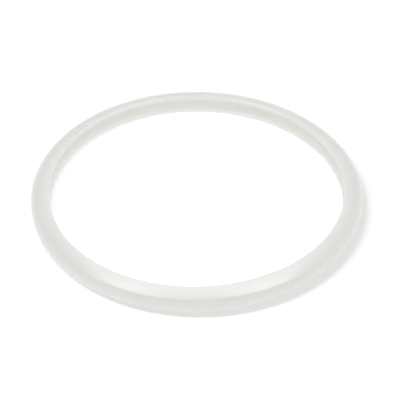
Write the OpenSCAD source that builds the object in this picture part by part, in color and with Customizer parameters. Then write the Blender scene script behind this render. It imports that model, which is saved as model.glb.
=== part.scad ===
// Silicone sealing ring for the lid of a stovetop pressure cooker.
// One endless moulding: a round back with two lips that open towards the centre.
// Steam fills the channel between the lips and presses them against lid and pot.

/* [Ring] */
// Inner diameter, between the tips of the lips
inner_d = 220; // [160:1:300]
// Width of the section, from the tips of the lips to the outside of the back
section_w = 14; // [13:0.5:18]

/* [Back] */
// Height over the round back
back_h = 12; // [11.5:0.5:16]
// Height of the cylindrical band in the middle of the back, which seats in the lid
land_h = 3; // [1:0.5:3.5]

/* [Lips] */
// Thickness of the wall, the same in the back and in both lips
wall = 3.6; // [2.5:0.1:3.7]
// Angle by which each lip opens outwards from level
flare = 14; // [0:1:20]
// How much the crest of each lip is flattened where it seals
crest_cut = 0.15; // [0.05:0.05:0.25]

/* [Hidden] */
$fn = 96;
silicone = [0.90, 0.90, 0.87, 0.85];

outer_r = inner_d / 2 + section_w;
tip_r = wall / 2;
// Outer radius of the two bends that join the back to the lips
bend_r = (back_h - land_h) / 2;
bend_x = outer_r - bend_r;
// Distance from a bend's centre to the middle of the wall
mid_r = bend_r - wall / 2;
// Length of a lip from its bend to the centre of its tip
lip_l = (section_w - bend_r - tip_r + mid_r * sin(flare)) / cos(flare);
// Height of a lip's crest above the middle of the section
crest_h = land_h / 2 + lip_l * sin(flare) + mid_r * cos(flare) + tip_r - crest_cut;
ring_h = 2 * crest_h;

// The quarter turn from the cylindrical band to the start of a lip, about its centre
module bend() {
    far = 3 * bend_r;
    difference() {
        circle(r = bend_r);
        circle(r = bend_r - wall);
        // Everything below the centre, and everything past the start of the lip
        translate([-far, -far]) square([2 * far, far]);
        rotate(-flare) translate([-far, -far]) square([far, 2 * far]);
    }
}

// A lip of even thickness with a fully round tip, about the centre of its bend
module lip() {
    rotate(-flare) {
        translate([-lip_l, bend_r - wall]) square([lip_l, wall]);
        translate([-lip_l, mid_r]) circle(r = tip_r);
    }
}

// The half of the section above its middle, which lies at y = 0
module half_section() {
    translate([outer_r - wall, 0]) square([wall, land_h / 2]);
    translate([bend_x, land_h / 2]) {
        bend();
        lip();
    }
}

// The whole section, with both crests cut level
module section() {
    intersection() {
        union() {
            half_section();
            mirror([0, 1]) half_section();
        }
        translate([0, -crest_h]) square([outer_r + wall, ring_h]);
    }
}

// The ring, lying on its lower lip
module sealing_ring() {
    color(silicone)
        rotate_extrude($fn = 360)
            translate([0, crest_h]) section();
}

sealing_ring();
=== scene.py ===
import math

import bpy
import numpy as np
from mathutils import Matrix, Vector


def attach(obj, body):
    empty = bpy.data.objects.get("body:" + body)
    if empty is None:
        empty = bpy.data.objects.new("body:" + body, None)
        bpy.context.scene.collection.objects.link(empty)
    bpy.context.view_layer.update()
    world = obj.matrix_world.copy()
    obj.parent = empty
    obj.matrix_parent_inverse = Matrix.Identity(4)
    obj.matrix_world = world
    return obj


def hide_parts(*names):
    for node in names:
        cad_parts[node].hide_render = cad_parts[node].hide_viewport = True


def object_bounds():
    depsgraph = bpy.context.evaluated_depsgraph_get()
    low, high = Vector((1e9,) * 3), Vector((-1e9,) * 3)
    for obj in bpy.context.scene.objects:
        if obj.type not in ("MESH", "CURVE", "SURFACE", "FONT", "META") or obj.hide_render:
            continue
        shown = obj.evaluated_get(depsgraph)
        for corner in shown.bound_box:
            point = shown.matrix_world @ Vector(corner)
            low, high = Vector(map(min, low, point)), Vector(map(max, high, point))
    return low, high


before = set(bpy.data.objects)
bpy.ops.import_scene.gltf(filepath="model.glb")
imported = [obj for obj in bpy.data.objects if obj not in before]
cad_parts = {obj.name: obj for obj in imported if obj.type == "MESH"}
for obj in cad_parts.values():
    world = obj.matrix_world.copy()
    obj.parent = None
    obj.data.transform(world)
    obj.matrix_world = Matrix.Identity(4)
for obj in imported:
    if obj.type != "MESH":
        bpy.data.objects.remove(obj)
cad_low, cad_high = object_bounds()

MM = 0.001

# The ring's section, as the CAD model has it. The outer radius and the height come from the imported CAD
# model's bounds.
SECTION_W = 14 * MM         # from the back to the tips of the lips
BACK_H = 12 * MM            # the band and the two bends beside it
LAND_H = 3 * MM             # the upright band in the middle of the back
WALL = 3.6 * MM
FLARE = math.radians(14)    # how far the lips spread from level

# Fine shape of the moulding
LIP_CROWN = 0.22 * MM       # how far the outer face of each lip bulges at its middle
FLASH_H = 0.03 * MM         # the witness line where the two mould halves met
FLASH_WIDTH = 0.14 * MM

# A soft ring never lies perfectly round and flat: (waves round the ring, height, phase in degrees)
ROUNDNESS = ((2, 0.60 * MM, -8), (3, 0.35 * MM, -11), (7, 0.05 * MM, 40), (11, 0.03 * MM, 160))
LIP_WAVES = ((3, 0.10 * MM, 75), (5, 0.08 * MM, 10), (9, 0.04 * MM, 200))

# How finely the mesh is divided
TURN_STEPS = 720            # steps round the ring
BAND_SHARES = (0, 0.05, 0.1, 0.2, 0.4, 0.7)     # closest together at the witness line
BEND_POINTS = 17
OUTER_FACE_POINTS = 12
TIP_POINTS = 13
INNER_FACE_POINTS = 10
CHANNEL_POINTS = 6

# Milky silicone
SILICONE_IOR = 1.41
SCATTER_DISTANCE = 30 * MM
SCATTER_SHARES = (1.0, 0.91, 0.82)              # of that distance, for red, green and blue
COOL_MILK = (0.799, 0.803, 0.750, 1)
WARM_MILK = (0.817, 0.805, 0.748, 1)
CLOUD_SIZE = 22 * MM
DUST_COLOUR = (0.93, 0.92, 0.90, 1)
DUST_SPACING = 2.4 * MM
DUST_EDGE = (0.05, 0.10)    # where a speck starts and stops fading, in spacings from its middle
ROUGHNESS = (0.23, 0.27)
HANDLED_SIZE = 9 * MM       # size of the glossier and duller places
GRAIN_SIZE = 0.9 * MM
GRAIN_DEPTH = 0.008 * MM
GRAIN_STRENGTH = 0.35
NOISE_SPAN = (0.3, 0.7)     # most of a noise texture's values lie between these

# The white floor, which also glows
FLOOR_SIZE = 12             # metres
FLOOR_GREY = (0.3, 0.3, 0.3, 1)
FLOOR_ROUGHNESS = 0.9
POOL_LIGHT = 0.80           # how strongly the floor glows inside the ring
FLOOR_LIGHT = 0.52          # how strongly the rest of it glows
POOL_INSET = 4 * MM         # the glow changes from this far inside the bore to this far inside the rim

# The camera: the photograph's viewing angle, with lengths in outer radii of the ring
ELEVATION = math.radians(40.93)
DISTANCE = 5.5
AIM_RIGHT = 0.0224
AIM_UP = -0.0282
ROLL = math.radians(0.31)
LENS_MM = 80.2
SENSOR_MM = 36

# The white surround: (height of the direction, strength). Below the horizon it is as at 0.
SURROUND = ((0.0, 0.89), (0.35, 0.80), (0.64, 1.03), (0.84, 0.95), (0.95, 0.7), (1.0, 0.6))

# Lamps: name, direction from the ring, width and depth in metres, power in watts
LAMP_DISTANCE = 1.4         # metres from the middle of the ring
CARD_COLOUR = (0.97, 0.97, 1.0)
GLOSS_CARDS = (("gloss_left", (-0.31, 0.17, 0.934), 0.30, 0.30, 2.5),
               ("gloss_right", (0.29, 0.15, 0.944), 0.30, 0.30, 2.5),
               ("gloss_top", (0, 0.24, 0.97), 1.2, 0.85, 12))
FLOOR_KEY = ("floor_key", (-0.44, -0.04, 0.90), 0.12, 0.7, 22)


def section_outline(outer_r, height):
    """The closed outline of the section as an array of (radius, height) points."""
    tip_r = WALL / 2
    bend_r = (BACK_H - LAND_H) / 2
    mid_r = bend_r - tip_r
    bend_x = outer_r - bend_r
    lip_l = (SECTION_W - bend_r - tip_r + mid_r * math.sin(FLARE)) / math.cos(FLARE)
    lip_start = math.pi / 2 - FLARE
    along = np.array([-math.cos(FLARE), math.sin(FLARE)])
    out = np.array([math.sin(FLARE), math.cos(FLARE)])
    centre = np.array([bend_x, LAND_H / 2])
    tip = centre + along * lip_l + out * mid_r

    # The upper half's outer side, from the middle of the back to the start of the lip
    band = LAND_H / 2 * np.array(BAND_SHARES)
    points = [(outer_r + FLASH_H * math.exp(-(z / FLASH_WIDTH) ** 2), z) for z in band]
    for a in np.linspace(0, lip_start, BEND_POINTS):
        points.append(centre + bend_r * np.array([math.cos(a), math.sin(a)]))
    # The lip's outer face, its round tip and its inner face
    for s in np.linspace(0, 1, OUTER_FACE_POINTS)[1:-1]:
        crown = LIP_CROWN * 4 * s * (1 - s)
        points.append(centre + along * lip_l * s + out * (bend_r + crown))
    for a in np.linspace(0, math.pi, TIP_POINTS):
        points.append(tip + tip_r * (out * math.cos(a) + along * math.sin(a)))
    for s in np.linspace(1, 0, INNER_FACE_POINTS)[1:-1]:
        points.append(centre + along * lip_l * s + out * (bend_r - WALL))
    # The channel's bend
    for a in np.linspace(lip_start, 0, CHANNEL_POINTS):
        points.append(centre + (bend_r - WALL) * np.array([math.cos(a), math.sin(a)]))
    upper = np.array([tuple(p) for p in points])
    outline = np.vstack([upper, upper[:0:-1] * (1, -1)])
    outline[:, 1] += height / 2
    return outline


def waves(turns, table):
    """The sum of a few waves round the ring."""
    return sum(h * np.cos(n * turns - math.radians(p)) for n, h, p in table)


def ring_mesh(name, outer_r, height):
    """The ring as one closed mesh of quads."""
    outline = section_outline(outer_r, height)
    count = len(outline)
    turns = np.arange(TURN_STEPS) * 2 * math.pi / TURN_STEPS
    radii = outline[:, 0] + waves(turns, ROUNDNESS)[:, None]
    # The lips sag towards each other, most at their tips, and never leave the CAD height
    lip_share = np.clip((outer_r - outline[:, 0]) / SECTION_W, 0, 1) ** 2
    side = np.sign(outline[:, 1] - height / 2)
    sag = waves(turns, LIP_WAVES)
    heights = outline[:, 1] - (lip_share * side) * (sag - sag.min())[:, None]
    heights = np.clip(heights, 0, height)
    x = radii * np.cos(turns)[:, None]
    y = radii * np.sin(turns)[:, None]
    vertices = np.stack([x, y, heights], axis=-1).reshape(-1, 3)
    faces = []
    for i in range(TURN_STEPS):
        here, there = i * count, (i + 1) % TURN_STEPS * count
        for k in range(count):
            after = (k + 1) % count
            faces.append((here + k, there + k, there + after, here + after))
    mesh = bpy.data.meshes.new(name)
    mesh.from_pydata(vertices.tolist(), [], faces)
    mesh.shade_smooth()
    mesh.update()
    return mesh


def fill(node, values):
    """Sets a node's inputs, given by name."""
    for name, value in values.items():
        node.inputs[name].default_value = value


def start_material(name, values):
    """A new material whose shader has the given values. Returns it with its nodes, links and shader."""
    material = bpy.data.materials.new(name)
    material.use_nodes = True
    nodes, links = material.node_tree.nodes, material.node_tree.links
    shader = nodes["Principled BSDF"]
    fill(shader, values)
    return material, nodes, links, shader


def noise(nodes, links, place, size, detail):
    """A noise texture whose lumps are about one size, in metres."""
    node = nodes.new("ShaderNodeTexNoise")
    fill(node, {"Scale": 1 / size, "Detail": detail})
    links.new(place, node.inputs["Vector"])
    return node.outputs["Fac"]


def remap(nodes, links, value, span, results):
    """A value that goes from the first result to the second as the input crosses the span."""
    node = nodes.new("ShaderNodeMapRange")
    fill(node, {"From Min": span[0], "From Max": span[1], "To Min": results[0], "To Max": results[1]})
    links.new(value, node.inputs["Value"])
    return node.outputs["Result"]


def blend(nodes, links, share, second):
    """A colour mix that reaches the second colour where the share is 1. Its input A is still to be set."""
    node = nodes.new("ShaderNodeMix")
    node.data_type = "RGBA"
    node.inputs["B"].default_value = second
    links.new(share, node.inputs["Factor"])
    return node


def silicone():
    """Milky translucent silicone with a satin skin, faintly cloudy, with a little dust on it."""
    material, nodes, links, shader = start_material("milky_silicone", {
        "IOR": SILICONE_IOR,
        "Subsurface Weight": 1.0,
        "Subsurface Radius": SCATTER_SHARES,
        "Subsurface Scale": SCATTER_DISTANCE,
    })
    place = nodes.new("ShaderNodeTexCoord").outputs["Object"]

    # Cloudiness: slow drifts between a cooler and a warmer milk white
    cloud = noise(nodes, links, place, CLOUD_SIZE, detail=3)
    milk = blend(nodes, links, remap(nodes, links, cloud, NOISE_SPAN, (0, 1)), WARM_MILK)
    milk.inputs["A"].default_value = COOL_MILK

    # Dust: sparse pale specks, a few tenths of a millimetre across
    speck = nodes.new("ShaderNodeTexVoronoi")
    fill(speck, {"Scale": 1 / DUST_SPACING, "Randomness": 1})
    links.new(place, speck.inputs["Vector"])
    dust = remap(nodes, links, speck.outputs["Distance"], DUST_EDGE, (1, 0))
    dusty = blend(nodes, links, dust, DUST_COLOUR)
    links.new(milk.outputs["Result"], dusty.inputs["A"])
    links.new(dusty.outputs["Result"], shader.inputs["Base Color"])

    # Satin skin: handling leaves it a little glossier in places
    handled = noise(nodes, links, place, HANDLED_SIZE, detail=4)
    links.new(remap(nodes, links, handled, NOISE_SPAN, ROUGHNESS), shader.inputs["Roughness"])

    # Micro-texture of the mould
    grain = nodes.new("ShaderNodeBump")
    fill(grain, {"Strength": GRAIN_STRENGTH, "Distance": GRAIN_DEPTH})
    links.new(noise(nodes, links, place, GRAIN_SIZE, detail=5), grain.inputs["Height"])
    links.new(grain.outputs["Normal"], shader.inputs["Normal"])
    return material


def floor_material(inner_r, outer_r):
    """A glowing white sweep, brighter inside the ring than outside. It changes mostly under the ring."""
    material, nodes, links, shader = start_material("white_sweep", {
        "Base Color": FLOOR_GREY,
        "Roughness": FLOOR_ROUGHNESS,
        "Specular IOR Level": 0.0,
        "Emission Color": (1, 1, 1, 1),
    })
    radius = nodes.new("ShaderNodeVectorMath")
    radius.operation = "LENGTH"
    links.new(nodes.new("ShaderNodeTexCoord").outputs["Object"], radius.inputs[0])
    glow = remap(nodes, links, radius.outputs["Value"], (inner_r, outer_r), (POOL_LIGHT, FLOOR_LIGHT))
    links.new(glow, shader.inputs["Emission Strength"])
    return material


def add_floor(outer_r):
    """The floor. It is hidden from diffuse rays, so the ring's soft light from below is the surround's."""
    bpy.ops.mesh.primitive_plane_add(size=FLOOR_SIZE, location=(0, 0, 0))
    floor = bpy.context.object
    floor.name = "floor"
    glow_outer_r = outer_r - POOL_INSET
    floor.data.materials.append(floor_material(glow_outer_r - SECTION_W, glow_outer_r))
    floor.visible_diffuse = False
    return floor


def add_lamp(name, direction, width, depth, power):
    """A soft lamp that looks at the ring from a direction."""
    data = bpy.data.lights.new(name, "AREA")
    data.shape = "RECTANGLE"
    data.size = width
    data.size_y = depth
    data.energy = power
    lamp = bpy.data.objects.new(name, data)
    bpy.context.scene.collection.objects.link(lamp)
    towards = Vector(direction).normalized()
    lamp.location = towards * LAMP_DISTANCE
    lamp.rotation_euler = towards.to_track_quat("Z", "Y").to_euler()
    return lamp


def add_gloss_card(name, direction, width, depth, power):
    """A soft card that shows only as a gloss on the skin."""
    card = add_lamp(name, direction, width, depth, power)
    card.data.color = CARD_COLOUR
    card.visible_diffuse = False


def light_only(lamp, piece):
    """Makes a lamp light one piece and no other; every piece still casts its shadow."""
    lit = bpy.data.collections.new(lamp.name + "_lights")
    lit.objects.link(piece)
    lamp.light_linking.receiver_collection = lit


def add_camera(outer_r):
    """The camera, which looks past the ring's middle by a small offset and is turned by a small roll."""
    back = Vector((0, -math.cos(ELEVATION), math.sin(ELEVATION)))
    right = Vector((1, 0, 0))
    up = back.cross(right)
    data = bpy.data.cameras.new("camera")
    data.lens = LENS_MM
    data.sensor_width = SENSOR_MM
    camera = bpy.data.objects.new("camera", data)
    bpy.context.scene.collection.objects.link(camera)
    place = outer_r * (back * DISTANCE + right * AIM_RIGHT + up * AIM_UP)
    turn = Matrix((right, up, back)).transposed() @ Matrix.Rotation(-ROLL, 3, "Z")
    camera.matrix_world = Matrix.Translation(place) @ turn.to_4x4()
    bpy.context.scene.camera = camera


def add_world():
    """The white surround, whose strength follows the height of the direction."""
    world = bpy.data.worlds.new("studio")
    world.use_nodes = True
    nodes, links = world.node_tree.nodes, world.node_tree.links
    direction = nodes.new("ShaderNodeTexCoord")
    split = nodes.new("ShaderNodeSeparateXYZ")
    ramp = nodes.new("ShaderNodeValToRGB")
    stops = ramp.color_ramp.elements
    while len(stops) < len(SURROUND):
        stops.new(0.5)
    for stop, (position, strength) in zip(stops, SURROUND):
        stop.position = position
        stop.color = (strength, strength, strength, 1)
    links.new(direction.outputs["Generated"], split.inputs["Vector"])
    links.new(split.outputs["Z"], ramp.inputs["Fac"])
    links.new(ramp.outputs["Color"], nodes["Background"].inputs["Color"])
    bpy.context.scene.world = world


outer_r = cad_high.x
add_camera(outer_r)

ring = bpy.data.objects.new("silicone_ring", ring_mesh("silicone_ring", outer_r, cad_high.z))
bpy.context.scene.collection.objects.link(ring)
ring.data.materials.append(silicone())
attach(ring, "root")
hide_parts("sealing_ring")

floor = add_floor(outer_r)
add_world()
for card in GLOSS_CARDS:
    add_gloss_card(*card)
light_only(add_lamp(*FLOOR_KEY), floor)
bpy.context.scene.view_settings.view_transform = "Standard"
